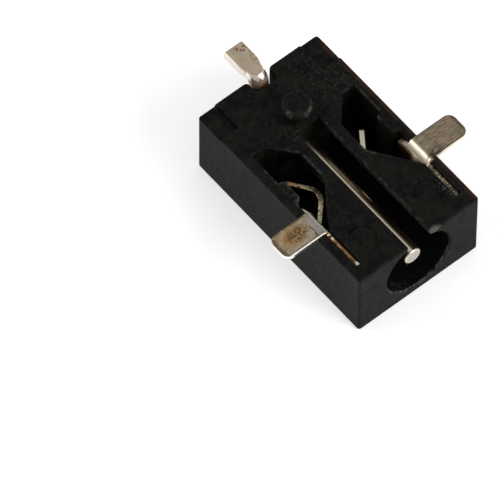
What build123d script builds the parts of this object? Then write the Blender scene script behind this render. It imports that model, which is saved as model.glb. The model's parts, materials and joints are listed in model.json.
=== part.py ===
"""Surface-mount dc barrel jack: a moulded housing, a cranked centre pin and two stamped side contacts.

Millimetres. The origin is the centre of the closed face, +Z points to the board side,
-Y to the plug opening and +Y to the pin's solder tail.
"""
import os
from math import atan, degrees, radians, tan

from build123d import *

os.makedirs("parts", exist_ok=True)

# Housing block
BODY_LENGTH = 8.0
BODY_WIDTH = 4.9
CORNER_ROUND = 0.10
EDGE_ROUND = 0.08

# Plug bore with its walls to the closed face and the board face, and its slot to the board side
BORE_DIAMETER = 2.56
CLOSED_WALL = 0.32
BOARD_WALL = 0.07
REAR_BLOCK = 2.45
BORE_LEAD = 0.06
SLOT_WIDTH = 0.90
LIP_ROUND = 0.05

# Centre pin and its solder tail
PIN_DIAMETER = 0.65
PIN_SETBACK = 0.28
PIN_TIP_ROUND = 0.07
SHANK_SWELL = 0.045
SHANK_LEAD = 0.60
SHANK_CLEARANCE = 0.01
PIN_RISE_ANGLE = 86.0
PIN_INNER_BEND = 0.035
TAIL_REACH = 1.25
TAIL_SPREAD = 0.11
TAIL_THICKNESS = 0.35
TAIL_ROOT_NARROWING = 0.03
TAIL_ROOT_ROUND = 0.20
TAIL_TAPER = 0.40
TAIL_SHOULDER_ROUND = 1.5
TAIL_TIP_ROUND = 0.06
TAIL_EDGE_ROUND = 0.08
TAIL_HEEL = 0.17

# Notch of the rear face, which the pin leaves through
NOTCH_CLEARANCE = 0.08
NOTCH_DEPTH = 0.46
NOTCH_CORNER_ROUND = 0.06
NOTCH_MOUTH_ROUND = 0.16

# Locating peg on the board side
PEG_DIAMETER = 1.0
PEG_HEIGHT = 0.66
PEG_RIM_ROUND = 0.10

# Stamped strip of the side contacts. A setback is measured from the front face, an inset from the
# side, and a run from the front end of the strip
STRIP_THICKNESS = 0.15
STRIP_INSET = 0.41
STRIP_SETBACK = 0.55
STRIP_LENGTH = 2.87
STRIP_CLEARANCE = 0.02
STRIP_SINK = 0.10
STRIP_CORNER_ROUND = 0.12
NOSE_LENGTH = 0.78
NOSE_FLOOR = 0.90
KEEL_LENGTH = 1.12
KEEL_FLOOR = 0.50
FOOT_SINK = 0.12
WING_RISE = 0.33
WING_SLOPE = 0.25

# Solder tab of the side contacts
TAB_RUN = 1.46
TAB_WIDTH = 0.96
TAB_REACH = 1.285
TAB_CORNER_ROUND = 0.28
TAB_BEND_INNER = 0.15

# Spring arm of the side contacts, whose apex is placed from the plug's axis
ARM_HEIGHT = 1.02
ARM_ROOT_RUN = 1.99
ARM_ROOT_ROUND = 0.22
ARM_APEX_X = 0.892
ARM_APEX_REACH = 1.21
ARM_APEX_ROUND = 0.45
ARM_END_INSET = 0.83
ARM_END_REACH = 1.02
ARM_CORNER_ROUND = 0.18

# Pockets that the spring arms move in, each with a rib behind its strip
POCKET_INNER = 0.84
POCKET_INSET = 0.35
POCKET_LEAD = 0.48
POCKET_APEX_LEAD = 0.10
POCKET_APEX_ROOM = 1.13
POCKET_END_ROOM = 0.98
POCKET_REAR_INSET = 0.82
POCKET_FLOOR = 0.45
POCKET_ROUND = 0.12
RIB_WIDTH = 0.555
RIB_GAP = 0.13
RIB_LENGTH = 0.87
RIB_ROUND = 0.12

# Windows and foot slots of the closed face
FRONT_WINDOW_INSET = 0.92
FRONT_WINDOW_SETBACK = 1.10
FRONT_WINDOW_LENGTH = 0.80
FRONT_WINDOW_DEPTH = 1.10
REAR_WINDOW_INSET = 1.13
REAR_WINDOW_MARGIN = 0.89
REAR_WINDOW_WIDTH = 0.44
REAR_WINDOW_LENGTH = 0.72
REAR_WINDOW_DEPTH = 1.20
FOOT_SLOT_LEAD = 0.23
FOOT_SLOT_RELIEF = 0.10

# Gate mark of the closed face, a shallow dish with a rough spot in its middle
GATE_Y = 0.97
GATE_DIAMETER = 1.60
GATE_DEPTH = 0.05
GATE_SPOT_DIAMETER = 1.06
GATE_SPOT_DEPTH = 0.03

# Corner steps and ejector marks of the board face
STEP_WIDTH = 0.68
STEP_LENGTH = 1.13
STEP_DEPTH = 0.15
STEP_SLANT = 0.06
EJECTOR_DIAMETER = 0.96
EJECTOR_DEPTH = 0.03
EJECTOR_INSET = 1.12
EJECTOR_SETBACK = 1.20

# Places and sizes worked out from those above: housing and bore
FRONT = -BODY_LENGTH / 2
REAR = BODY_LENGTH / 2
SIDE = BODY_WIDTH / 2
BODY_HEIGHT = CLOSED_WALL + BORE_DIAMETER + BOARD_WALL
AXIS_Z = CLOSED_WALL + BORE_DIAMETER / 2
BORE_END = REAR - REAR_BLOCK
BORE_DEPTH = BORE_END - FRONT
BORE_AXIS_DEPTH = BODY_HEIGHT - AXIS_Z
PEG_Y = BORE_END + PEG_DIAMETER / 2
board_face = Plane.XY.offset(BODY_HEIGHT)

# Pin, tail and notch
PIN_RADIUS = PIN_DIAMETER / 2
SHANK_RADIUS = PIN_RADIUS + SHANK_SWELL
TAIL_WIDTH = PIN_DIAMETER + TAIL_SPREAD
TAIL_ROOT_WIDTH = PIN_DIAMETER - TAIL_ROOT_NARROWING
NOTCH_WIDTH = PIN_DIAMETER + 2 * NOTCH_CLEARANCE
NOTCH_WALL = REAR - NOTCH_DEPTH

# Strip, its slot, the solder tab and the spring arm
STRIP_OFFSET = SIDE - STRIP_INSET
STRIP_FRONT = FRONT + STRIP_SETBACK
STRIP_REAR = STRIP_FRONT + STRIP_LENGTH
SLOT_INNER = STRIP_OFFSET - STRIP_THICKNESS / 2 - STRIP_CLEARANCE
SLOT_OUTER = STRIP_OFFSET + STRIP_THICKNESS / 2 + STRIP_CLEARANCE
SLOT_FRONT = STRIP_FRONT - STRIP_CLEARANCE
SLOT_REAR = STRIP_REAR + STRIP_CLEARANCE
TAB_REAR = STRIP_FRONT + TAB_RUN + TAB_WIDTH
TAB_END = SIDE + TAB_REACH
SOLDER_LEVEL = BODY_HEIGHT + STRIP_THICKNESS
ARM_ROOT_Y = STRIP_FRONT + ARM_ROOT_RUN
ARM_APEX_Y = ARM_ROOT_Y + ARM_APEX_REACH
ARM_END_X = SIDE - ARM_END_INSET
ARM_END_Y = ARM_APEX_Y + ARM_END_REACH

# Pockets and ribs
POCKET_OUTER = SIDE - POCKET_INSET
POCKET_FRONT = ARM_ROOT_Y - POCKET_LEAD
POCKET_SHOULDER_FRONT = ARM_APEX_Y - POCKET_APEX_LEAD
POCKET_SHOULDER_REAR = ARM_APEX_Y + POCKET_APEX_ROOM
POCKET_REAR = ARM_END_Y + POCKET_END_ROOM
POCKET_REAR_INNER = SIDE - POCKET_REAR_INSET
RIB_INNER = SIDE - RIB_WIDTH
RIB_FRONT = STRIP_REAR + RIB_GAP
RIB_REAR = RIB_FRONT + RIB_LENGTH

# Windows, foot slots and ejector marks
FRONT_WINDOW_INNER = SIDE - FRONT_WINDOW_INSET
FRONT_WINDOW_FRONT = FRONT + FRONT_WINDOW_SETBACK
REAR_WINDOW_X = SIDE - REAR_WINDOW_INSET
REAR_WINDOW_Y = REAR - REAR_WINDOW_MARGIN
FOOT_SLOT_FRONT = STRIP_FRONT + NOSE_LENGTH + KEEL_LENGTH - FOOT_SLOT_LEAD
FOOT_SLOT_REAR = STRIP_REAR + FOOT_SLOT_RELIEF
EJECTOR_X = SIDE - EJECTOR_INSET
EJECTOR_Y = FRONT + EJECTOR_SETBACK


# Housing: the block with its rounded corners and the locating peg
with BuildPart() as housing:
    with BuildSketch():
        RectangleRounded(BODY_WIDTH, BODY_LENGTH, CORNER_ROUND)
    extrude(amount=BODY_HEIGHT)
    rims = housing.faces().filter_by(Axis.Z).edges()
    fillet(rims, radius=EDGE_ROUND)

    with BuildSketch(board_face):
        with Locations((0, PEG_Y)):
            Circle(PEG_DIAMETER / 2)
    extrude(amount=PEG_HEIGHT)
    peg_rim = housing.edges().filter_by(GeomType.CIRCLE).sort_by(Axis.Z)[-1]
    fillet(peg_rim, radius=PEG_RIM_ROUND)

    # Plug bore from the front face
    with BuildSketch(Plane.XZ.offset(-FRONT)):
        with Locations((0, AXIS_Z)):
            Circle(BORE_DIAMETER / 2)
    extrude(amount=-BORE_DEPTH, mode=Mode.SUBTRACT)

    # Slot that opens the bore to the board side
    with BuildSketch(board_face):
        with Locations((0, (FRONT + BORE_END) / 2)):
            Rectangle(SLOT_WIDTH, BORE_DEPTH)
    extrude(amount=-BORE_AXIS_DEPTH, mode=Mode.SUBTRACT)
    slot_lips = (
        housing.edges().filter_by(Axis.Y)
        .filter_by_position(Axis.Z, BODY_HEIGHT - LIP_ROUND, BODY_HEIGHT + LIP_ROUND)
        .filter_by_position(Axis.X, -BORE_DIAMETER / 2, BORE_DIAMETER / 2)
    )
    fillet(slot_lips, radius=LIP_ROUND)
    with BuildSketch(Plane.XZ.offset(-FRONT)):
        with Locations((0, AXIS_Z)):
            Circle(BORE_DIAMETER / 2 + BORE_LEAD)
    extrude(amount=-BORE_LEAD, taper=45, mode=Mode.SUBTRACT)

    # Pocket for each spring arm, with the rib that stands behind the strip left in place
    with BuildSketch(board_face):
        with BuildLine():
            Polyline(
                (POCKET_INNER, POCKET_SHOULDER_FRONT),
                (POCKET_INNER, POCKET_SHOULDER_REAR),
                (POCKET_REAR_INNER, POCKET_REAR),
                (POCKET_OUTER, POCKET_REAR),
                (POCKET_OUTER, POCKET_FRONT),
                (SLOT_INNER, POCKET_FRONT),
                close=True,
            )
        make_face()
        shoulders = vertices().filter_by_position(Axis.X, POCKET_INNER, POCKET_REAR_INNER)
        fillet(shoulders, radius=POCKET_ROUND)
        with Locations(((RIB_INNER + SIDE) / 2, (RIB_FRONT + RIB_REAR) / 2)):
            RectangleRounded(SIDE - RIB_INNER, RIB_REAR - RIB_FRONT, RIB_ROUND, mode=Mode.SUBTRACT)
        mirror(about=Plane.YZ)
    extrude(amount=POCKET_FLOOR - BODY_HEIGHT, mode=Mode.SUBTRACT)

    # Slot for each contact strip, relieved where the solder tab bends over its edge
    with BuildSketch(board_face):
        with Locations(((SLOT_INNER + SLOT_OUTER) / 2, (SLOT_FRONT + SLOT_REAR) / 2)):
            Rectangle(SLOT_OUTER - SLOT_INNER, SLOT_REAR - SLOT_FRONT)
        mirror(about=Plane.YZ)
    extrude(amount=POCKET_FLOOR - BODY_HEIGHT, mode=Mode.SUBTRACT)
    with BuildSketch(Plane.XZ.offset(-TAB_REAR - STRIP_CLEARANCE)):
        with BuildLine():
            Polyline(
                (SLOT_OUTER, BODY_HEIGHT - TAB_BEND_INNER),
                (SLOT_OUTER + TAB_BEND_INNER, BODY_HEIGHT),
                (SLOT_OUTER, BODY_HEIGHT),
                close=True,
            )
        make_face()
        mirror(about=Plane.YZ)
    extrude(amount=TAB_WIDTH + 2 * STRIP_CLEARANCE, mode=Mode.SUBTRACT)

    # Closed face: slots for the contacts' feet, blind windows and the gate mark
    with BuildSketch():
        with Locations(((SLOT_INNER + SLOT_OUTER) / 2, (FOOT_SLOT_FRONT + FOOT_SLOT_REAR) / 2)):
            Rectangle(SLOT_OUTER - SLOT_INNER, FOOT_SLOT_REAR - FOOT_SLOT_FRONT)
        mirror(about=Plane.YZ)
    extrude(amount=POCKET_FLOOR, mode=Mode.SUBTRACT)
    with BuildSketch():
        with Locations(((FRONT_WINDOW_INNER + SLOT_OUTER) / 2, FRONT_WINDOW_FRONT + FRONT_WINDOW_LENGTH / 2)):
            Rectangle(SLOT_OUTER - FRONT_WINDOW_INNER, FRONT_WINDOW_LENGTH)
        mirror(about=Plane.YZ)
    extrude(amount=FRONT_WINDOW_DEPTH, mode=Mode.SUBTRACT)
    with BuildSketch():
        with Locations((REAR_WINDOW_X, REAR_WINDOW_Y), (-REAR_WINDOW_X, REAR_WINDOW_Y)):
            Rectangle(REAR_WINDOW_WIDTH, REAR_WINDOW_LENGTH)
    extrude(amount=REAR_WINDOW_DEPTH, mode=Mode.SUBTRACT)
    with BuildSketch():
        with Locations((0, GATE_Y)):
            Circle(GATE_DIAMETER / 2)
    extrude(amount=GATE_DEPTH, taper=45, mode=Mode.SUBTRACT)
    with BuildSketch():
        with Locations((0, GATE_Y)):
            Circle(GATE_SPOT_DIAMETER / 2)
    extrude(amount=GATE_DEPTH + GATE_SPOT_DEPTH, mode=Mode.SUBTRACT)

    # Rear notch: an arch round the pin's axis, open to the board side, and the pin's hole
    with BuildSketch(Plane.XZ.offset(-NOTCH_WALL)):
        with Locations((0, AXIS_Z)):
            Circle(NOTCH_WIDTH / 2)
        with Locations((0, (AXIS_Z + BODY_HEIGHT) / 2)):
            Rectangle(NOTCH_WIDTH, BORE_AXIS_DEPTH)
    extrude(amount=-NOTCH_DEPTH, mode=Mode.SUBTRACT)
    notch_corners = (
        housing.edges().filter_by(Axis.Z)
        .filter_by_position(Axis.Y, NOTCH_WALL, NOTCH_WALL)
        .filter_by_position(Axis.X, -NOTCH_WIDTH / 2, NOTCH_WIDTH / 2)
    )
    fillet(notch_corners, radius=NOTCH_CORNER_ROUND)
    notch_mouth = (
        housing.edges().filter_by(Axis.Z)
        .filter_by_position(Axis.Y, REAR, REAR)
        .filter_by_position(Axis.X, -NOTCH_WIDTH / 2, NOTCH_WIDTH / 2)
    )
    fillet(notch_mouth, radius=NOTCH_MOUTH_ROUND)
    with BuildSketch(Plane.XZ.offset(-BORE_END)):
        with Locations((0, AXIS_Z)):
            Circle(SHANK_RADIUS + SHANK_CLEARANCE)
    extrude(amount=BORE_END - NOTCH_WALL, mode=Mode.SUBTRACT)

    # Slanted steps at the rear corners of the board face
    with BuildSketch(board_face):
        with Locations((SIDE, REAR)):
            Rectangle(2 * (STEP_WIDTH + STEP_SLANT), 2 * (STEP_LENGTH + STEP_SLANT))
        mirror(about=Plane.YZ)
    extrude(amount=-STEP_DEPTH, taper=degrees(atan(STEP_SLANT / STEP_DEPTH)), mode=Mode.SUBTRACT)

    # Ejector marks of the board face
    with BuildSketch(board_face):
        with Locations((EJECTOR_X, EJECTOR_Y), (-EJECTOR_X, EJECTOR_Y)):
            Circle(EJECTOR_DIAMETER / 2)
    extrude(amount=-EJECTOR_DEPTH, mode=Mode.SUBTRACT)

# Centre pin: round wire, cranked up to the solder level and coined flat into its tail
pin_tip = FRONT + PIN_SETBACK
tail_end = REAR + TAIL_REACH
tail_middle = SOLDER_LEVEL - TAIL_THICKNESS / 2
bend_radius = PIN_RADIUS + PIN_INNER_BEND
rise_y = NOTCH_WALL + bend_radius * tan(radians(PIN_RISE_ANGLE) / 2)
rise_run = (tail_middle - AXIS_Z) / tan(radians(PIN_RISE_ANGLE))
tail_heel_y = rise_y + rise_run + PIN_RADIUS - TAIL_HEEL
shoulder_y = tail_heel_y + TAIL_TAPER
shank_front = BORE_END + SHANK_LEAD

# Blade of the tail, wider than the wire and rounded all about
with BuildPart() as blade:
    with BuildSketch(Plane.XY.offset(SOLDER_LEVEL - TAIL_THICKNESS)):
        with BuildLine():
            Polyline(
                (-TAIL_ROOT_WIDTH / 2, tail_heel_y),
                (-TAIL_WIDTH / 2, shoulder_y),
                (-TAIL_WIDTH / 2, tail_end),
                (TAIL_WIDTH / 2, tail_end),
                (TAIL_WIDTH / 2, shoulder_y),
                (TAIL_ROOT_WIDTH / 2, tail_heel_y),
                close=True,
            )
        make_face()
        fillet(vertices().filter_by_position(Axis.Y, shoulder_y, shoulder_y), radius=TAIL_SHOULDER_ROUND)
        fillet(vertices().group_by(Axis.Y)[0], radius=TAIL_ROOT_ROUND)
        fillet(vertices().group_by(Axis.Y)[-1], radius=TAIL_TIP_ROUND)
    extrude(amount=TAIL_THICKNESS)
    rims = blade.faces().filter_by(Axis.Z).edges()
    fillet(rims, radius=TAIL_EDGE_ROUND)

with BuildPart() as centre_pin:
    with BuildLine(Plane.YZ) as wire_path:
        FilletPolyline(
            (pin_tip, AXIS_Z),
            (rise_y, AXIS_Z),
            (rise_y + rise_run, tail_middle),
            (shoulder_y, tail_middle),
            radius=bend_radius,
        )
    with BuildSketch(Plane.XZ.offset(-pin_tip)):
        with Locations((0, AXIS_Z)):
            Circle(PIN_RADIUS)
    sweep(path=wire_path.wire())
    tip_rim = centre_pin.edges().filter_by(GeomType.CIRCLE).sort_by(Axis.Y)[0]
    fillet(tip_rim, radius=PIN_TIP_ROUND)

    # Thicker shank in the wall between the bore and the notch, with a slim cone that leads it in
    with BuildSketch(Plane.XZ.offset(-NOTCH_WALL)):
        with Locations((0, AXIS_Z)):
            Circle(SHANK_RADIUS)
    extrude(amount=NOTCH_WALL - shank_front)
    with BuildSketch(Plane.XZ.offset(-shank_front)):
        with Locations((0, AXIS_Z)):
            Circle(SHANK_RADIUS)
    extrude(amount=SHANK_LEAD, taper=degrees(atan(SHANK_SWELL / SHANK_LEAD)))

    # Coined faces of the tail: the solder face above and the die's heel below
    with BuildSketch(Plane.YZ):
        with BuildLine():
            Polyline(
                (NOTCH_WALL, SOLDER_LEVEL),
                (tail_end, SOLDER_LEVEL),
                (tail_end, SOLDER_LEVEL + PIN_DIAMETER),
                (NOTCH_WALL, SOLDER_LEVEL + PIN_DIAMETER),
                close=True,
            )
        make_face()
        with BuildLine():
            Polyline(
                (tail_heel_y, SOLDER_LEVEL - TAIL_THICKNESS),
                (tail_end, SOLDER_LEVEL - TAIL_THICKNESS),
                (tail_end, AXIS_Z - PIN_DIAMETER),
                (tail_heel_y, AXIS_Z - PIN_DIAMETER),
                close=True,
            )
        make_face()
    extrude(amount=TAIL_WIDTH, both=True, mode=Mode.SUBTRACT)

    add(blade.part)

# Right contact: strip, foot and wing in its slot, with the solder tab and the spring arm
strip_inner = STRIP_OFFSET - STRIP_THICKNESS / 2
strip_outer = STRIP_OFFSET + STRIP_THICKNESS / 2
strip_top = BODY_HEIGHT - STRIP_SINK
wing_floor = strip_top - WING_SLOPE - WING_RISE
nose_back = STRIP_FRONT + NOSE_LENGTH
keel_back = nose_back + KEEL_LENGTH
bend_outer = TAB_BEND_INNER + STRIP_THICKNESS
arm_floor = AXIS_Z - ARM_HEIGHT / 2

with BuildPart() as right_contact:
    with BuildSketch(Plane.YZ.offset(strip_inner)):
        with BuildLine():
            Polyline(
                (STRIP_FRONT, NOSE_FLOOR),
                (nose_back, NOSE_FLOOR),
                (nose_back, KEEL_FLOOR),
                (keel_back, KEEL_FLOOR),
                (keel_back, FOOT_SINK),
                (STRIP_REAR, FOOT_SINK),
                (STRIP_REAR, arm_floor - STRIP_THICKNESS),
                (ARM_ROOT_Y, arm_floor - STRIP_THICKNESS),
                (ARM_ROOT_Y, wing_floor),
                (STRIP_REAR, wing_floor),
                (STRIP_REAR, strip_top - WING_SLOPE),
                (TAB_REAR, strip_top),
                (STRIP_FRONT, strip_top),
                close=True,
            )
        make_face()
        outer_corners = (
            vertices().filter_by_position(Axis.Y, STRIP_FRONT, STRIP_FRONT)
            + vertices().filter_by_position(Axis.Z, FOOT_SINK, FOOT_SINK)
        )
        fillet(outer_corners, radius=STRIP_CORNER_ROUND)
    extrude(amount=STRIP_THICKNESS)

    # Solder tab, bent outward over the edge of the housing
    with BuildSketch(Plane.XZ.offset(-TAB_REAR)):
        with BuildLine():
            Polyline(
                (strip_inner, strip_top - bend_outer),
                (strip_inner, SOLDER_LEVEL - bend_outer),
            )
            RadiusArc(
                (strip_inner, SOLDER_LEVEL - bend_outer),
                (strip_inner + bend_outer, SOLDER_LEVEL),
                bend_outer,
            )
            Polyline(
                (strip_inner + bend_outer, SOLDER_LEVEL),
                (TAB_END, SOLDER_LEVEL),
                (TAB_END, BODY_HEIGHT),
                (strip_outer + TAB_BEND_INNER, BODY_HEIGHT),
            )
            RadiusArc(
                (strip_outer + TAB_BEND_INNER, BODY_HEIGHT),
                (strip_outer, BODY_HEIGHT - TAB_BEND_INNER),
                -TAB_BEND_INNER,
            )
            Polyline(
                (strip_outer, BODY_HEIGHT - TAB_BEND_INNER),
                (strip_outer, strip_top - bend_outer),
                (strip_inner, strip_top - bend_outer),
            )
        make_face()
    extrude(amount=TAB_WIDTH)
    tab_corners = right_contact.edges().filter_by(Axis.Z).group_by(Axis.X)[-1]
    fillet(tab_corners, radius=TAB_CORNER_ROUND)

    # Spring arm, folded out of the strip towards the bore and turned back at its free end
    with BuildSketch(Plane.XY.offset(arm_floor)):
        with BuildLine():
            FilletPolyline(
                (strip_outer, ARM_ROOT_Y - 2 * ARM_ROOT_ROUND),
                (strip_outer, ARM_ROOT_Y),
                (ARM_APEX_X + STRIP_THICKNESS / 2, ARM_APEX_Y),
                (ARM_END_X + STRIP_THICKNESS / 2, ARM_END_Y),
                radius=(ARM_ROOT_ROUND, ARM_APEX_ROUND),
            )
            offset(amount=STRIP_THICKNESS, side=Side.LEFT)
        make_face()
    extrude(amount=ARM_HEIGHT)
    free_end = right_contact.faces().sort_by(Axis.Y)[-1]
    fillet(free_end.edges().group_by(SortBy.LENGTH)[0], radius=ARM_CORNER_ROUND)

# Left contact, the mirror image of the right one
with BuildPart() as left_contact:
    add(right_contact.part)
    mirror(about=Plane.YZ, mode=Mode.REPLACE)

nodes = {
    "housing": housing,
    "centre_pin": centre_pin,
    "right_contact": right_contact,
    "left_contact": left_contact,
}
for name, builder in nodes.items():
    solid = builder.part
    solid.label = name
    export_step(solid, f"parts/{name}.step")
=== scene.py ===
"""Looks of the dc barrel jack: moulded black plastic and plated contacts, on a plain white floor.

Metres, in the row's frame: +Z is the board side and -Y the plug opening. Textures are laid out in
millimetres of the object, so that a speck or a scratch has its real size.
"""
import json
import math

import bpy
from mathutils import Matrix, Vector

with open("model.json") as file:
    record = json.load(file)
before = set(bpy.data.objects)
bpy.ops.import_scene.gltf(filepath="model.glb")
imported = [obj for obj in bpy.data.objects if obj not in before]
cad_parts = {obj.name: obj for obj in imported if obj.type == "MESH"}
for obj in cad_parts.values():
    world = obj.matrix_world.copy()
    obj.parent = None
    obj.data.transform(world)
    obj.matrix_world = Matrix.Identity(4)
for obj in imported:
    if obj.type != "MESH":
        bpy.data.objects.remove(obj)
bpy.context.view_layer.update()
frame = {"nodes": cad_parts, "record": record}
scene = bpy.context.scene
mounts = {mount["name"]: mount for mount in frame["record"]["mounts"]}

MM = 0.001

# Camera, fitted to the photograph
CAMERA_AIM = (-3.77 * MM, -0.20 * MM, 1.475 * MM)
CAMERA_AZIMUTH = 39.86
CAMERA_ELEVATION = 58.47
CAMERA_ROLL = 0.37
CAMERA_DISTANCE = 347.0 * MM
CAMERA_LENS = 792.0
SENSOR_WIDTH = 36.0
CLIP_NEAR = 0.01
CLIP_FAR = 5.0

# Light and floor
LAMP_DISTANCE = 0.45
LAMP_SIZE = 0.30
WORLD_LIGHT = 0.50
FLOOR_SIZE = 0.5
FLOOR_DROP = 0.01 * MM
FLOOR_GLOW = 0.42
CONTACT_GAP = 0.05 * MM
FLOOR_PALE = (0.8, 0.8, 0.8)
WHITE = (1.0, 1.0, 1.0)

# Levels and places in millimetres, from the record's mounts
PEG_LENGTH = mounts["locating_peg"]["dims"]["length_mm"]
BOARD_SIDE = mounts["locating_peg"]["pos_m"][2] / MM - PEG_LENGTH / 2
TAB_TOP = mounts["left_solder_tab"]["pos_m"][2] / MM
BORE_AXIS = mounts["centre_pin"]["pos_m"][2] / MM
PEG_Y = mounts["locating_peg"]["pos_m"][1] / MM

# Noises, which run from 0 to 1: where a wide mix starts and ends, and the two noises that both
# contacts use, as waves to the millimetre, detail and roughness
WIDE_MIX = (0.3, 0.7)
FINE_NOISE = (10.0, 4.0, 0.65)
MIDDLE_NOISE = (4.5, 4.0, 0.6)

# Surfaces: roughness from the smoothest to the roughest place, how metallic plating is where clean and
# where tarnished or under painted light, and the gloss of the plastic
PLASTIC_ROUGH = (0.50, 0.66)
TAIL_ROUGH = (0.26, 0.34)
SHAFT_ROUGH = 0.31
LEFT_ROUGH = (0.24, 0.40)
RIGHT_ROUGH = (0.26, 0.36)
CLEAN_METALLIC = 1.0
DULL_METALLIC = 0.35
PLASTIC_IOR = 1.5
PLASTIC_SPECULAR = 0.070


def direction(azimuth, elevation):
    """Unit vector from the object towards a place seen at this azimuth and elevation.

    Azimuth 0 is in front of the plug opening and turns clockwise, seen from the board side.
    """
    a = math.radians(azimuth)
    e = math.radians(elevation)
    return Vector((-math.sin(a) * math.cos(e), -math.cos(a) * math.cos(e), math.sin(e)))


def add_camera():
    """Camera at the photograph's viewing angle."""
    data = bpy.data.cameras.new("camera")
    data.lens = CAMERA_LENS
    data.sensor_width = SENSOR_WIDTH
    data.clip_start = CLIP_NEAR
    data.clip_end = CLIP_FAR
    camera = bpy.data.objects.new("camera", data)
    scene.collection.objects.link(camera)
    back = direction(CAMERA_AZIMUTH, CAMERA_ELEVATION)
    stand = Matrix.Translation(Vector(CAMERA_AIM) + back * CAMERA_DISTANCE)
    facing = (-back).to_track_quat("-Z", "Y").to_matrix().to_4x4()
    roll = Matrix.Rotation(math.radians(CAMERA_ROLL), 4, "Z")
    camera.matrix_world = stand @ facing @ roll
    scene.camera = camera


class Graph:
    """The nodes of one material, with lengths and places in millimetres of the object."""

    def __init__(self, owner):
        owner.use_nodes = True
        self.tree = owner.node_tree
        self.tree.nodes.clear()

    def node(self, kind, inputs=None, **settings):
        """A node with these inputs: a socket is linked, and a colour is red, green and blue."""
        made = self.tree.nodes.new("ShaderNode" + kind)
        for key, value in settings.items():
            setattr(made, key, value)
        for key, value in (inputs or {}).items():
            socket = made.inputs[key]
            if isinstance(value, bpy.types.NodeSocket):
                self.tree.links.new(value, socket)
            else:
                socket.default_value = (*value, 1.0) if socket.type == "RGBA" else value
        return made

    def finish(self, shader):
        self.node("OutputMaterial", {"Surface": shader})

    def math(self, operation, a, b=0.0):
        return self.node("Math", {0: a, 1: b}, operation=operation).outputs[0]

    def times(self, first, *others):
        """Product of values."""
        for other in others:
            first = self.math("MULTIPLY", first, other)
        return first

    def most(self, first, *others):
        """Largest of values."""
        for other in others:
            first = self.math("MAXIMUM", first, other)
        return first

    def opposite(self, value):
        """0 for 1 and 1 for 0."""
        return self.math("SUBTRACT", 1.0, value)

    def apart(self, value, middle):
        """How far a value is from a middle."""
        return self.math("ABSOLUTE", self.math("SUBTRACT", value, middle))

    def minus(self, vector, other):
        return self.node("VectorMath", {0: vector, 1: other}, operation="SUBTRACT").outputs[0]

    def length(self, vector):
        return self.node("VectorMath", {0: vector}, operation="LENGTH").outputs["Value"]

    def mix_value(self, factor, a, b):
        return self.node("Mix", {0: factor, 2: a, 3: b}, data_type="FLOAT").outputs[0]

    def mix_colour(self, factor, a, b):
        return self.node("Mix", {0: factor, 6: a, 7: b}, data_type="RGBA").outputs[2]

    def stain(self, base, mask, colour, strength=1.0):
        """The base colour, covered by another where the mask is 1, as strongly as asked."""
        cover = mask if strength == 1.0 else self.times(mask, strength)
        return self.mix_colour(cover, base, colour)

    def ramp(self, value, low, high):
        """0 at low, 1 at high, with soft ends."""
        inputs = {"Value": value, "From Min": low, "From Max": high}
        return self.node("MapRange", inputs, interpolation_type="SMOOTHSTEP").outputs[0]

    def band(self, value, low, high, soft):
        """1 between low and high, fading to 0 over the soft width outside them."""
        return self.times(self.ramp(value, low - soft, low), self.ramp(value, high + soft, high))

    def place(self, stretch=(1.0, 1.0, 1.0)):
        """The object's own coordinates in millimetres, stretched."""
        here = self.node("TexCoord").outputs["Object"]
        scale = [s / MM for s in stretch]
        return self.node("Mapping", {"Vector": here, "Scale": scale}).outputs[0]

    def axis(self, letter):
        """One coordinate of the object."""
        return self.node("SeparateXYZ", {0: self.place()}).outputs[letter]

    def wander(self, letter, noise, amount):
        """One coordinate, made crooked by a noise."""
        sway = self.math("SUBTRACT", noise, 0.5)
        return self.math("ADD", self.axis(letter), self.times(sway, amount))

    def facing(self, letter):
        """How far the surface faces along an axis: 1 along it, -1 against it."""
        normal = self.node("NewGeometry").outputs["Normal"]
        return self.node("SeparateXYZ", {0: normal}).outputs[letter]

    def box(self, low, high, soft):
        """1 inside a box, fading to 0 over the soft width outside it."""
        here = self.node("SeparateXYZ", {0: self.place()})
        sides = [self.band(here.outputs[letter], a, b, soft) for letter, a, b in zip("XYZ", low, high)]
        return self.times(*sides)

    def spot(self, centre, reach):
        """1 around a place, fading to 0 at this reach along each axis."""
        inputs = {0: self.minus(self.place(), centre), 1: reach}
        scaled = self.node("VectorMath", inputs, operation="DIVIDE").outputs[0]
        return self.ramp(self.length(scaled), 1.0, 0.35)

    def spots(self, places):
        """Several spots in one."""
        return self.most(*[self.spot(*place) for place in places])

    def from_line(self, point, along):
        """Distance from the line that runs through a point along one axis."""
        across = [0.0 if letter == along else 1.0 for letter in "XYZ"]
        foot = [part * kept for part, kept in zip(point, across)]
        return self.length(self.minus(self.place(across), foot))

    def noise(self, scale, detail, roughness, stretch=(1.0, 1.0, 1.0)):
        """A noise with about this many waves to the millimetre."""
        inputs = {"Vector": self.place(stretch), "Scale": scale, "Detail": detail, "Roughness": roughness}
        return self.node("TexNoise", inputs).outputs[0]

    def edge(self, radius, low, high):
        """1 along the edges of the piece, within about this radius of them."""
        rounded = self.node("Bevel", {"Radius": radius * MM}, samples=6).outputs[0]
        flat = self.node("NewGeometry").outputs["Normal"]
        along = self.node("VectorMath", {0: rounded, 1: flat}, operation="DOT_PRODUCT").outputs["Value"]
        return self.ramp(along, 1.0 - low, 1.0 - high)

    def bump(self, height, strength, depth, softness=0.0):
        """The surface's direction, made uneven to this depth, and rounded at its edges if asked."""
        inputs = {"Strength": strength, "Distance": depth * MM, "Height": height}
        if softness:
            inputs["Normal"] = self.node("Bevel", {"Radius": softness * MM}, samples=8).outputs[0]
        return self.node("Bump", inputs).outputs[0]


def mirrored(box):
    """The same box on the other side of the jack."""
    (x_low, *low), (x_high, *high) = box
    return (-x_high, *low), (-x_low, *high)


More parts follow.
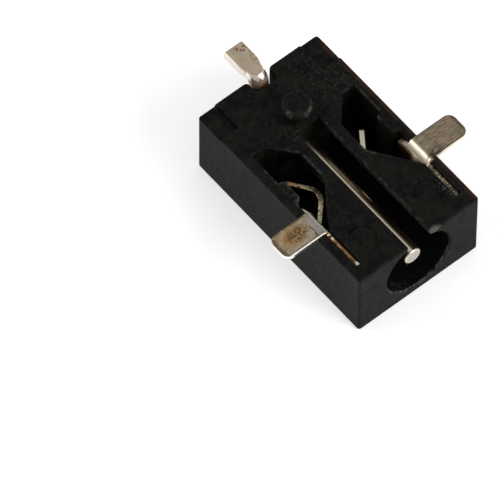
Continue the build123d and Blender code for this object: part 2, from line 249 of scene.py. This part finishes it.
# Housing: colours
PLASTIC = {
    "dark": (0.0022, 0.0022, 0.0025),
    "mottled": (0.0068, 0.0070, 0.0053),
    "dabs": (0.0125, 0.0125, 0.0095),
    # Painted shade inside the bore and its slot
    "inside": (0.0010, 0.0010, 0.0010),
    "crumbs": (0.085, 0.085, 0.078),
    # Pale rim on every edge: part wear, part painted highlight
    "rim": (0.042, 0.041, 0.037),
    "ragged": (0.058, 0.058, 0.054),
    # Painted highlight on the lip by the slot's right edge, at the front
    "lip_highlight": (0.120, 0.112, 0.100),
    # Brownish painted reflection along the right top edge
    "brown": (0.030, 0.014, 0.008),
    # Painted shade line in the rear steps
    "step_shade": (0.0004, 0.0004, 0.0004),
    "ring": (0.0005, 0.0005, 0.0005),
    # Painted shade in each ejector mark
    "shade": (0.0008, 0.0008, 0.0010),
    # Painted highlights on the front of the peg's rim
    "peg": (0.062, 0.060, 0.055),
    "loose": (0.058, 0.058, 0.052),
    "burr": (0.070, 0.070, 0.062),
    # Pale lower rim of the mouth: part rough lip, part painted highlight
    "mouth": (0.100, 0.100, 0.095),
}

# Housing: boxes in millimetres, as low and high corners
# Where the bore and its slot are painted darker, as painted shade
INSIDE = ((-1.28, -3.9, 0.3), (1.28, 1.5, 2.80))
# Right top edge, with its painted reflection
RIGHT_EDGE = ((2.32, -3.9, 2.72), (2.5, 4.1, 3.0))
REAR_STEPS = ((-2.5, 2.9, 2.7), (2.5, 3.85, 2.96))
# Lower rim of the mouth, with its painted highlight
MOUTH = ((-1.5, -4.1, 0.0), (1.5, -3.93, 1.3))
RAGGED_EDGES = (
    ((-1.05, -0.6, 2.7), (-0.70, 2.1, 3.1)),
    ((0.38, -4.1, 2.6), (0.60, 1.2, 3.1)),
    ((1.55, 0.2, 2.7), (2.15, 2.0, 3.1)),
    ((0.70, -0.7, 2.7), (1.30, -0.1, 3.1)),
    ((-2.25, -0.6, 2.7), (-1.90, 1.0, 3.1)),
)

# Housing: spots in millimetres, as centre and reach
REAR_CORNER = ((1.5, 2.7, BOARD_SIDE), (1.3, 1.5, 0.3))
# Lip by the slot's right edge, at the front, with its painted highlight
LIP_HIGHLIGHT = ((0.62, -3.97, 2.90), (0.34, 0.16, 0.14))
BURR = ((1.82, -3.10, BOARD_SIDE), (0.16, 0.62, 0.2))
PEG_CHIPS = (
    ((-0.40, 1.85, 3.55), (0.42, 0.42, 0.25)),
    ((0.42, 1.75, 3.55), (0.42, 0.42, 0.25)),
)
# Front of the peg's rim, with its painted highlights
PEG_HIGHLIGHTS = (
    ((-0.42, 1.95, 3.5), (0.26, 0.34, 0.2)),
    ((0.14, 1.62, 3.5), (0.36, 0.24, 0.2)),
)
LOOSE_CRUMBS = (
    ((-0.45, 1.55, BOARD_SIDE), (0.50, 0.45, 0.2)),
    ((-1.98, 0.10, BOARD_SIDE), (0.32, 0.55, 0.2)),
    ((-0.90, 0.15, BOARD_SIDE), (0.14, 1.0, 0.2)),
    ((-0.70, -3.75, 0.55), (0.60, 0.45, 0.45)),
)

# Housing: inner and outer radius of rings, and how far out the painted shade line in the rear steps lies,
# in millimetres
EJECTOR_RING = (0.44, 0.48)
PEG_RING = (0.40, 0.52)
MOUTH_RING = (1.28, 1.31)
STEP_LINE = (1.75, 1.77)

# Housing: middles of the ejector marks in millimetres, with the shift and reach of the painted shade on each
EJECTOR_MARKS = ((-1.33, -2.80), (1.33, -2.80))
SHADE_SHIFT = (-0.16, 0.10)
SHADE_REACH = (0.42, 0.42, 0.2)

# Housing: levels between which the rings of the ejector marks fade in, in millimetres
RING_LEVELS = (BOARD_SIDE - 0.10, BOARD_SIDE - 0.05)


def plastic_ground(g, mottle):
    """Near black, mottled, with paler dabs, and painted darker inside the bore and its slot as painted
    shade.
    """
    base = g.mix_colour(mottle, PLASTIC["dark"], PLASTIC["mottled"])
    dabs = g.ramp(g.noise(scale=7.0, detail=3.0, roughness=0.7), 0.50, 0.66)
    base = g.stain(base, dabs, PLASTIC["dabs"], strength=0.55)
    # Painted shade inside the bore and its slot
    return g.stain(base, g.box(*INSIDE, soft=0.05), PLASTIC["inside"], strength=0.8)


def plastic_crumbs(g, base):
    """Pale crumbs, thickest round the rear right corner and thin elsewhere."""
    patchy = g.ramp(g.noise(scale=0.9, detail=2.0, roughness=0.5), 0.40, 0.70)
    thick = g.most(g.times(g.spot(*REAR_CORNER), 0.24), g.times(patchy, 0.10))
    crumbs = g.ramp(g.noise(scale=12.0, detail=2.0, roughness=0.6), 0.55, 0.68)
    return g.stain(base, g.times(crumbs, thick), PLASTIC["crumbs"])


def plastic_rims(g, base, grain, chips):
    """Narrow rough rim on every edge, part wear and part painted highlight, a wider one where the mould left
    it ragged, and a painted highlight on a lip.
    """
    # Narrow rim on every edge: part wear, part painted highlight
    rim = g.times(g.edge(radius=0.05, low=0.005, high=0.10), chips)
    ragged = g.spots(PEG_CHIPS)
    for box in RAGGED_EDGES:
        ragged = g.most(ragged, g.box(*box, soft=0.08))
    wide = g.times(g.edge(radius=0.16, low=0.003, high=0.06), g.times(chips, ragged))
    # Painted highlight on the lip by the slot's right edge, at the front
    lip = g.times(g.spot(*LIP_HIGHLIGHT), g.ramp(grain, 0.30, 0.55))
    base = g.stain(base, rim, PLASTIC["rim"], strength=0.40)
    base = g.stain(base, wide, PLASTIC["ragged"], strength=0.80)
    return g.stain(base, lip, PLASTIC["lip_highlight"], strength=0.85)


def moulding_marks_and_painted_light(g, base, mottle, grain):
    """Painted brownish reflection on the right edge, a painted shade line in the rear steps, and the ring
    and painted shade of each ejector mark.
    """
    # Brownish painted reflection along the right top edge
    brown = g.times(g.box(*RIGHT_EDGE, soft=0.06), g.ramp(mottle, -0.6, 0.7))
    base = g.stain(base, brown, PLASTIC["brown"], strength=0.85)
    # Painted shade line along the inner wall of each rear step
    sideways = g.apart(g.wander("X", grain, 0.10), 0.0)
    step_shade = g.times(g.band(sideways, *STEP_LINE, soft=0.03), g.box(*REAR_STEPS, soft=0.03))
    step_shade = g.times(step_shade, g.ramp(grain, 0.30, 0.55))
    base = g.stain(base, step_shade, PLASTIC["step_shade"], strength=0.85)
    for x, y in EJECTOR_MARKS:
        ring = g.band(g.from_line((x, y, 0.0), "Z"), *EJECTOR_RING, soft=0.035)
        ring = g.times(ring, g.ramp(mottle, 1.4, -0.2), g.ramp(g.axis("Z"), *RING_LEVELS))
        base = g.stain(base, ring, PLASTIC["ring"], strength=0.7)
        # Painted shade in the ejector mark
        shaded = g.spot((x + SHADE_SHIFT[0], y + SHADE_SHIFT[1], BOARD_SIDE), SHADE_REACH)
        shade = g.times(shaded, g.ramp(mottle, 1.3, -0.3))
        base = g.stain(base, shade, PLASTIC["shade"], strength=0.8)
    return base


def plastic_wear_and_highlights(g, base, grain, chips):
    """Painted highlights on the front of the peg's rim, loose crumbs here and there, the torn burr, and the
    pale lower rim of the mouth, part rough lip and part painted highlight.
    """
    # Painted highlights on the front of the peg's rim
    peg_rim = g.band(g.from_line((0.0, PEG_Y, 0.0), "Z"), *PEG_RING, soft=0.04)
    painted_highlights = g.times(g.spots(PEG_HIGHLIGHTS), peg_rim, chips)
    base = g.stain(base, painted_highlights, PLASTIC["peg"], strength=0.75)
    crumbs = g.ramp(g.noise(scale=9.0, detail=3.0, roughness=0.7), 0.48, 0.62)
    base = g.stain(base, g.times(g.spots(LOOSE_CRUMBS), crumbs), PLASTIC["loose"], strength=0.34)
    burr = g.times(g.spot(*BURR), g.ramp(grain, 0.55, 0.63))
    base = g.stain(base, burr, PLASTIC["burr"], strength=0.60)
    # Pale lower rim of the mouth: part rough lip, part painted highlight
    mouth_rim = g.band(g.from_line((0.0, 0.0, BORE_AXIS), "Y"), *MOUTH_RING, soft=0.05)
    mouth = g.times(mouth_rim, g.box(*MOUTH, soft=0.02), chips)
    return g.stain(base, mouth, PLASTIC["mouth"], strength=0.6)


def black_plastic():
    """Moulded black plastic: faint mottling and grain, pale crumbs, and the marks of moulding and wear, with
    painted light and shade among them.
    """
    made = bpy.data.materials.new("black_plastic")
    g = Graph(made)
    mottle = g.ramp(g.noise(scale=2.2, detail=5.0, roughness=0.7), 0.38, 0.62)
    grain = g.noise(scale=15.0, detail=3.0, roughness=0.6)
    chips = g.ramp(g.noise(scale=6.0, detail=5.0, roughness=0.75), 0.42, 0.60)
    base = plastic_ground(g, mottle)
    base = plastic_crumbs(g, base)
    base = plastic_rims(g, base, grain, chips)
    base = moulding_marks_and_painted_light(g, base, mottle, grain)
    base = plastic_wear_and_highlights(g, base, grain, chips)

    height = g.mix_value(0.6, grain, g.noise(scale=4.0, detail=4.0, roughness=0.6))
    inputs = {
        "Base Color": base,
        "Roughness": g.mix_value(g.ramp(grain, *WIDE_MIX), *PLASTIC_ROUGH),
        "Normal": g.bump(height, strength=0.45, depth=0.007),
        "IOR": PLASTIC_IOR,
        "Specular IOR Level": PLASTIC_SPECULAR,
    }
    g.finish(g.node("BsdfPrincipled", inputs).outputs[0])
    return made


def finish_metal(g, base, rough, tarnish_and_painted_light, normal):
    """Finishes a plated surface, which is less metallic where it is tarnished and where painted light is
    laid on.
    """
    metallic = g.mix_value(tarnish_and_painted_light, CLEAN_METALLIC, DULL_METALLIC)
    inputs = {"Base Color": base, "Metallic": metallic, "Roughness": rough, "Normal": normal}
    g.finish(g.node("BsdfPrincipled", inputs).outputs[0])


# Centre pin: colours
PIN = {
    "flat_pale": (0.74, 0.62, 0.46),
    "flat_dull": (0.62, 0.51, 0.37),
    "slanted": (0.80, 0.72, 0.60),
    # Painted highlight on the tail's left side
    "bright": (0.85, 0.80, 0.72),
    # Painted shade along the rounded edges of the tail's flat
    "edge_shade": (0.40, 0.28, 0.17),
    "tip": (0.56, 0.52, 0.45),
    "spots": (0.13, 0.065, 0.025),
    # Brown where the tail dips into the notch: part tarnished plating, part painted shade
    "root": (0.34, 0.19, 0.09),
    "shaft": (0.92, 0.79, 0.58),
    # Painted shade on the shaft's right side
    "right_side": (0.26, 0.17, 0.09),
    # Painted shade on the shaft's left flank
    "left_flank": (0.36, 0.24, 0.12),
}

# Centre pin: boxes as low and high corners, and spots as centre and reach, in millimetres
# Tail's left side, with its painted highlight
TAIL_LEFT_HIGHLIGHT = ((-0.6, 3.9, 2.6), (-0.15, 5.15, 3.2))
# Rounded edges of the tail's flat, with their painted shade
TAIL_RIM = ((-0.6, 3.9, 2.9), (0.6, 5.4, 3.2))
# Where the tail dips into the notch, with its painted shade
TAIL_ROOT = ((-0.5, 3.4, 2.2), (0.5, 4.02, 2.84))
PIN_TIP = ((0.0, -3.75, BORE_AXIS), (0.5, 0.15, 0.5))
TAIL_SPOTS = (
    ((0.10, 5.0, TAB_TOP), (0.36, 0.26, 0.2)),
    ((0.30, 4.40, TAB_TOP), (0.17, 0.60, 0.2)),
)

# Centre pin: where its shaft fades in at the rear and at the tip, along it, in millimetres
SHAFT_REAR = (3.0, 2.0)
SHAFT_FRONT = (-3.66, -3.60)


def pin_ends(g, fine, cloud):
    """Tail dull on its flat with painted shade along its edges, clean on its slanted sides with a painted
    highlight on the left one, spotted brown, and brown with painted shade where it dips into the notch;
    and the grey tip in the mouth.

    Also gives where it is tarnished, which takes in the painted shade at the notch.
    """
    up = g.facing("Z")
    base = g.mix_colour(g.ramp(cloud, *WIDE_MIX), PIN["flat_pale"], PIN["flat_dull"])
    slanted = g.opposite(g.ramp(up, 0.80, 0.97))
    base = g.stain(base, slanted, PIN["slanted"])
    # Painted highlight on the tail's left side
    base = g.stain(base, g.times(slanted, g.box(*TAIL_LEFT_HIGHLIGHT, soft=0.1)), PIN["bright"])
    # Painted shade along the rounded edges of the tail's flat
    edge_shade = g.times(g.band(up, 0.82, 0.95, soft=0.05), g.box(*TAIL_RIM, soft=0.1))
    base = g.stain(base, edge_shade, PIN["edge_shade"], strength=0.55)
    base = g.stain(base, g.spot(*PIN_TIP), PIN["tip"])
    spotty = g.times(g.spots(TAIL_SPOTS), g.ramp(fine, 0.49, 0.57))
    # Brown where the tail dips into the notch: part tarnished plating, part painted shade
    root = g.times(g.box(*TAIL_ROOT, soft=0.10), 0.9)
    base = g.stain(base, spotty, PIN["spots"], strength=0.95)
    base = g.stain(base, root, PIN["root"])
    return base, g.most(g.times(spotty, 0.8), root)


def pin_shaft(g, base, free):
    """Shaft in the bore: warm and pale, with painted shade towards the right and on its left flank, which
    leaves a painted highlight along its top.
    """
    sideways = g.facing("X")
    shaft = g.times(free, g.ramp(g.axis("Y"), *SHAFT_FRONT))
    base = g.stain(base, shaft, PIN["shaft"])
    # Painted shade on the shaft's right side
    right_side = g.times(shaft, g.ramp(sideways, -0.15, 0.40))
    base = g.stain(base, right_side, PIN["right_side"], strength=0.75)
    # Painted shade on the shaft's left flank
    left_flank = g.times(shaft, g.ramp(sideways, -0.72, -0.92))
    return g.stain(base, left_flank, PIN["left_flank"], strength=0.6)


def pin_plating():
    """Tin on the pin, streaked along it."""
    made = bpy.data.materials.new("pin_plating")
    g = Graph(made)
    streaks = g.noise(scale=6.0, detail=2.0, roughness=0.5, stretch=(2.0, 0.15, 2.0))
    cloud = g.noise(scale=3.0, detail=4.0, roughness=0.6)
    fine = g.noise(scale=9.0, detail=3.0, roughness=0.6)
    free = g.ramp(g.axis("Y"), *SHAFT_REAR)
    base, tarnish_and_painted_light = pin_ends(g, fine, cloud)
    base = pin_shaft(g, base, free)
    rough = g.mix_value(g.ramp(streaks, *WIDE_MIX), *TAIL_ROUGH)
    rough = g.mix_value(free, rough, SHAFT_ROUGH)
    finish_metal(g, base, rough, tarnish_and_painted_light, g.bump(streaks, strength=0.5, depth=0.0005))
    return made


# Left contact: colours
LEFT = {
    "clean_pale": (0.66, 0.57, 0.42),
    "clean_dull": (0.50, 0.42, 0.28),
    # Painted highlight on faces that stand up
    "upright_highlight": (0.94, 0.90, 0.82),
    "tab_pale": (0.58, 0.49, 0.37),
    "tab_dark": (0.33, 0.26, 0.17),
    "brown": (0.37, 0.195, 0.058),
    "heart": (0.085, 0.050, 0.012),
    "rim": (0.17, 0.115, 0.06),
    # Painted highlight along the tab's front edge
    "edge_highlight": (0.96, 0.93, 0.87),
    "grey": (0.46, 0.44, 0.42),
    "scratch": (0.10, 0.085, 0.065),
    "copper_dark": (0.20, 0.10, 0.040),
    "copper_pale": (0.60, 0.38, 0.21),
    # Painted shade along the strip's sides, where they go down into the slot
    "strip_side_shade": (0.11, 0.045, 0.014),
    # Painted highlights on the strip's front end, by the tab and on the wing
    "painted_highlights": (0.95, 0.90, 0.80),
    "arm_pale": (0.80, 0.71, 0.48),
    "arm_dark": (0.56, 0.45, 0.26),
    "free_end": (0.36, 0.19, 0.09),
    "flecks": (0.05, 0.045, 0.02),
}

# Left contact: boxes in millimetres, as low and high corners
LEFT_TAB = ((-3.8, -2.1, 3.0), (-1.9, -0.9, 3.2))
LEFT_TAB_MIDDLE = ((-3.55, -1.85, 3.0), (-2.0, -1.14, 3.2))
LEFT_SCRATCHED = ((-2.8, -1.92, 3.0), (-2.1, -1.50, 3.2))
LEFT_STRIP = ((-2.2, -3.6, 2.4), (-1.9, -2.02, 2.95))
LEFT_ARM = ((-1.93, -1.6, 1.0), (-0.7, 1.0, 2.2))

# Left contact: spots in millimetres, as centre and reach
LEFT_BROWN = ((-3.00, -1.42, TAB_TOP), (0.85, 0.48, 0.2))
LEFT_HEART = ((-2.90, -1.45, TAB_TOP), (0.60, 0.36, 0.2))
LEFT_GREY = ((-2.28, -1.55, TAB_TOP), (0.24, 0.55, 0.2))
# Painted highlights on the strip: its front end, by the tab and on the wing
LEFT_HIGHLIGHTS = (
    ((-2.02, -3.38, 2.85), (0.09, 0.12, 0.2)),
    ((-2.04, -2.17, 2.85), (0.07, 0.06, 0.2)),
    ((-2.04, -0.74, 2.75), (0.2, 0.24, 0.3)),
)

# Left contact: middle of the strip's thickness, and place of the tab's scratch, in millimetres
LEFT_STRIP_X = -2.035
LEFT_SCRATCH_X = -2.40

# Left contact: where the tab's painted edge highlight and the arm's brown end fade in, along Y, in
# millimetres
LEFT_TAB_EDGE = (-1.925, -1.965)
LEFT_FREE_END = (0.0, 0.6)


def left_tab(g, base, tab, fine, mid):
    """Tab: grey at the bend, browned in the middle with a dark speckled heart, scratched, and with a painted
    highlight along its front edge.

    Also gives where it is tarnished, and where its edge highlight is painted.
    """
    dull = g.mix_colour(g.ramp(mid, *WIDE_MIX), LEFT["tab_pale"], LEFT["tab_dark"])
    base = g.stain(base, tab, dull)
    brown = g.times(g.spot(*LEFT_BROWN), g.ramp(mid, 0.20, 0.50))
    base = g.stain(base, brown, LEFT["brown"], strength=0.85)
    heart = g.times(g.spot(*LEFT_HEART), g.ramp(fine, 0.38, 0.54))
    base = g.stain(base, heart, LEFT["heart"], strength=0.9)
    rim = g.times(tab, g.opposite(g.box(*LEFT_TAB_MIDDLE, soft=0.10)))
    base = g.stain(base, g.times(rim, g.ramp(mid, 0.25, 0.50)), LEFT["rim"], strength=0.85)
    # Painted highlight along the tab's front edge
    edge_highlight = g.times(tab, g.ramp(g.wander("Y", mid, 0.03), *LEFT_TAB_EDGE))
    base = g.stain(base, edge_highlight, LEFT["edge_highlight"])
    base = g.stain(base, g.spot(*LEFT_GREY), LEFT["grey"], strength=0.6)
    scratch = g.ramp(g.apart(g.wander("X", mid, 0.30), LEFT_SCRATCH_X), 0.05, 0.012)
    scratch = g.times(scratch, g.box(*LEFT_SCRATCHED, soft=0.08))
    base = g.stain(base, scratch, LEFT["scratch"], strength=0.8)
    return base, g.most(g.times(g.most(brown, heart), 0.7), edge_highlight)


def left_strip(g, base, mid):
    """Strip in its slot: copper shows through, with painted shade along its sides and painted highlights on
    its front end, by the tab and on the wing.

    Also gives where the highlights are painted.
    """
    strip = g.box(*LEFT_STRIP, soft=0.02)
    copper = g.mix_colour(g.ramp(mid, 0.35, 0.65), LEFT["copper_dark"], LEFT["copper_pale"])
    base = g.stain(base, strip, copper)
    # Painted shade along the strip's sides, where they go down into the slot
    sides = g.ramp(g.apart(g.wander("X", mid, 0.16), LEFT_STRIP_X), 0.008, 0.050)
    base = g.stain(base, g.times(strip, sides), LEFT["strip_side_shade"], strength=0.85)
    # Painted highlights on the strip's front end, by the tab and on the wing
    painted_highlights = g.spots(LEFT_HIGHLIGHTS)
    return g.stain(base, painted_highlights, LEFT["painted_highlights"]), painted_highlights


def left_arm(g, base, fine, mid):
    """Arm: yellowish, with dark flecks and a browner free end."""
    arm = g.box(*LEFT_ARM, soft=0.02)
    yellow = g.mix_colour(g.ramp(mid, *WIDE_MIX), LEFT["arm_pale"], LEFT["arm_dark"])
    base = g.stain(base, arm, yellow)
    free_end = g.times(arm, g.ramp(g.axis("Y"), *LEFT_FREE_END))
    base = g.stain(base, free_end, LEFT["free_end"], strength=0.8)
    flecks = g.times(arm, g.ramp(fine, 0.48, 0.58))
    return g.stain(base, flecks, LEFT["flecks"], strength=0.85)


def left_plating():
    """Plating of the left contact: yellowish on flat faces, and painted lighter on faces that stand up, as a
    painted highlight.
    """
    made = bpy.data.materials.new("left_plating")
    g = Graph(made)
    fine = g.noise(*FINE_NOISE)
    mid = g.noise(*MIDDLE_NOISE)
    cloud = g.noise(scale=2.0, detail=3.0, roughness=0.6)
    flat = g.ramp(g.facing("Z"), 0.85, 0.98)
    clean = g.mix_colour(g.ramp(cloud, *WIDE_MIX), LEFT["clean_pale"], LEFT["clean_dull"])
    # Faces that stand up get a painted highlight
    base = g.mix_colour(flat, LEFT["upright_highlight"], clean)
    tab = g.times(flat, g.box(*LEFT_TAB, soft=0.02))
    base, tarnish_and_painted_light = left_tab(g, base, tab, fine, mid)
    base, painted_highlights = left_strip(g, base, mid)
    base = left_arm(g, base, fine, mid)
    rough = g.mix_value(tab, *LEFT_ROUGH)
    normal = g.bump(mid, strength=0.5, depth=0.006, softness=0.035)
    finish_metal(g, base, rough, g.most(tarnish_and_painted_light, painted_highlights), normal)
    return made


# Right contact: colours
RIGHT = {
    "clean_pale": (0.95, 0.88, 0.75),
    "clean_dull": (0.82, 0.70, 0.54),
    "tab_dark": (0.21, 0.160, 0.105),
    "tab_pale": (0.48, 0.39, 0.27),
    "rim": (0.12, 0.085, 0.05),
    "smudge": (0.06, 0.05, 0.04),
    # Painted highlight along the top of the bend
    "cream": (0.90, 0.79, 0.60),
    # Painted coppery reflection below the bend's highlight
    "copper": (0.34, 0.15, 0.050),
    # Painted shade lowest down on the bend
    "deep_shade": (0.035, 0.014, 0.006),
    "corner": (0.06, 0.045, 0.03),
    "strip_pale": (0.58, 0.48, 0.36),
    "strip_flecks": (0.09, 0.06, 0.04),
    "arm": (0.84, 0.76, 0.58),
}

# Right contact: boxes as low and high corners, and spots as centre and reach, in millimetres
RIGHT_TAB = mirrored(LEFT_TAB)
RIGHT_STRIP = mirrored(LEFT_STRIP)
RIGHT_ARM = mirrored(LEFT_ARM)
RIGHT_TAB_MIDDLE = ((2.0, -1.90, 3.0), (3.58, -1.10, 3.2))
RIGHT_BEND = ((1.8, -2.1, 2.0), (2.2, -0.4, 3.00))
RIGHT_SMUDGE = ((2.45, -1.88, TAB_TOP), (0.40, 0.24, 0.2))
RIGHT_CORNER = ((2.20, -1.93, TAB_TOP), (0.30, 0.16, 0.2))

# Right contact: levels between which each colour of the bend fades in, in millimetres: the painted
# highlight, the painted reflection and the painted shade
CREAM_HIGHLIGHT_LEVELS = (2.62, 2.74)
COPPER_REFLECTION_LEVELS = (2.78, 2.60)
DEEP_SHADE_LEVELS = (2.68, 2.46)


def right_tab(g, base, tab, mid, brushed):
    """Tab: brushed grey, with a dark rim and a smudge."""
    dull = g.mix_colour(g.ramp(brushed, 0.32, 0.68), RIGHT["tab_dark"], RIGHT["tab_pale"])
    base = g.stain(base, tab, dull)
    rim = g.times(tab, g.opposite(g.box(*RIGHT_TAB_MIDDLE, soft=0.07)))
    base = g.stain(base, g.times(rim, g.ramp(mid, 0.30, 0.55)), RIGHT["rim"], strength=0.7)
    smudge = g.times(g.spot(*RIGHT_SMUDGE), g.ramp(mid, 0.36, 0.56))
    return g.stain(base, smudge, RIGHT["smudge"], strength=0.8)


def right_bend(g, base, fine):
    """Bend: a cream painted highlight at the top, a coppery painted reflection below and painted shade
    lowest down, with a dark corner on the tab.

    Also gives where the painted highlight and reflection make it less metallic.
    """
    bend = g.box(*RIGHT_BEND, soft=0.1)
    level = g.axis("Z")
    # Painted highlight along the top of the bend
    cream = g.times(bend, g.ramp(level, *CREAM_HIGHLIGHT_LEVELS))
    base = g.stain(base, cream, RIGHT["cream"])
    # Painted coppery reflection below the highlight
    copper = g.times(bend, g.ramp(level, *COPPER_REFLECTION_LEVELS))
    base = g.stain(base, copper, RIGHT["copper"], strength=0.9)
    # Painted shade lowest down on the bend
    base = g.stain(base, g.times(bend, g.ramp(level, *DEEP_SHADE_LEVELS)), RIGHT["deep_shade"])
    corner = g.times(g.spot(*RIGHT_CORNER), g.ramp(fine, 0.40, 0.55))
    base = g.stain(base, corner, RIGHT["corner"], strength=0.8)
    return base, g.times(g.most(copper, cream), 0.75)


def right_plating():
    """Plating of the right contact, with a pale strip that has dark flecks, and a pale arm."""
    made = bpy.data.materials.new("right_plating")
    g = Graph(made)
    fine = g.noise(*FINE_NOISE)
    mid = g.noise(*MIDDLE_NOISE)
    brushed = g.noise(scale=9.0, detail=4.0, roughness=0.65, stretch=(0.40, 2.5, 1.0))
    base = g.mix_colour(g.ramp(mid, *WIDE_MIX), RIGHT["clean_pale"], RIGHT["clean_dull"])
    tab = g.times(g.ramp(g.facing("Z"), 0.85, 0.98), g.box(*RIGHT_TAB, soft=0.02))
    base = right_tab(g, base, tab, mid, brushed)
    base, tarnish_and_painted_light = right_bend(g, base, fine)
    strip = g.mix_colour(g.ramp(fine, 0.36, 0.56), RIGHT["strip_pale"], RIGHT["strip_flecks"])
    base = g.stain(base, g.box(*RIGHT_STRIP, soft=0.02), strip)
    base = g.stain(base, g.box(*RIGHT_ARM, soft=0.02), RIGHT["arm"])
    rough = g.mix_value(tab, *RIGHT_ROUGH)
    finish_metal(g, base, rough, tarnish_and_painted_light, g.bump(brushed, strength=0.5, depth=0.004))
    return made


def dress(node, look):
    """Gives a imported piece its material."""
    piece = frame["nodes"][node]
    piece.data.materials.clear()
    piece.data.materials.append(look)


def add_floor():
    """Plain white floor that keeps the object's shadow."""
    bpy.ops.mesh.primitive_plane_add(size=FLOOR_SIZE, location=(0, 0, -FLOOR_DROP))
    floor = bpy.context.object
    floor.name = "floor"
    look = bpy.data.materials.new("floor")
    g = Graph(look)
    ray = g.node("LightPath").outputs
    seen = g.most(ray["Is Camera Ray"], ray["Is Glossy Ray"], ray["Is Transmission Ray"])
    matt = g.node("BsdfDiffuse", {"Color": FLOOR_PALE}).outputs[0]
    lift = g.node("Emission", {"Color": WHITE, "Strength": g.times(seen, FLOOR_GLOW)}).outputs[0]
    front = g.node("AddShader", {0: matt, 1: lift}).outputs[0]
    # Clear from behind, and right under the closed face, so that light reaches it when it is seen from below
    behind = g.node("NewGeometry").outputs["Backfacing"]
    touching = g.math("LESS_THAN", ray["Ray Length"], CONTACT_GAP)
    clear = g.node("BsdfTransparent").outputs[0]
    g.finish(g.node("MixShader", {0: g.most(behind, touching), 1: front, 2: clear}).outputs[0])
    floor.data.materials.append(look)


def add_world():
    """Even light, seen as plain white behind the floor."""
    world = bpy.data.worlds.new("world")
    scene.world = world
    g = Graph(world)
    ray = g.node("LightPath").outputs
    strength = g.mix_value(ray["Is Camera Ray"], WORLD_LIGHT, 1.0)
    shader = g.node("Background", {"Color": WHITE, "Strength": strength}).outputs[0]
    g.node("OutputWorld", {"Surface": shader})


def add_softbox(name, azimuth, elevation, power):
    """Square softbox that faces the object."""
    data = bpy.data.lights.new(name, "AREA")
    data.shape = "SQUARE"
    data.size = LAMP_SIZE
    data.energy = power
    lamp = bpy.data.objects.new(name, data)
    scene.collection.objects.link(lamp)
    lamp.location = direction(azimuth, elevation) * LAMP_DISTANCE
    lamp.rotation_euler = (-direction(azimuth, elevation)).to_track_quat("-Z", "Y").to_euler()


scene.view_settings.view_transform = "Standard"
add_camera()
add_floor()
add_world()
add_softbox("softbox_front", azimuth=-24, elevation=30, power=1.55)
add_softbox("softbox_back", azimuth=142, elevation=34, power=0.75)

dress("housing", black_plastic())
dress("centre_pin", pin_plating())
dress("left_contact", left_plating())
dress("right_contact", right_plating())
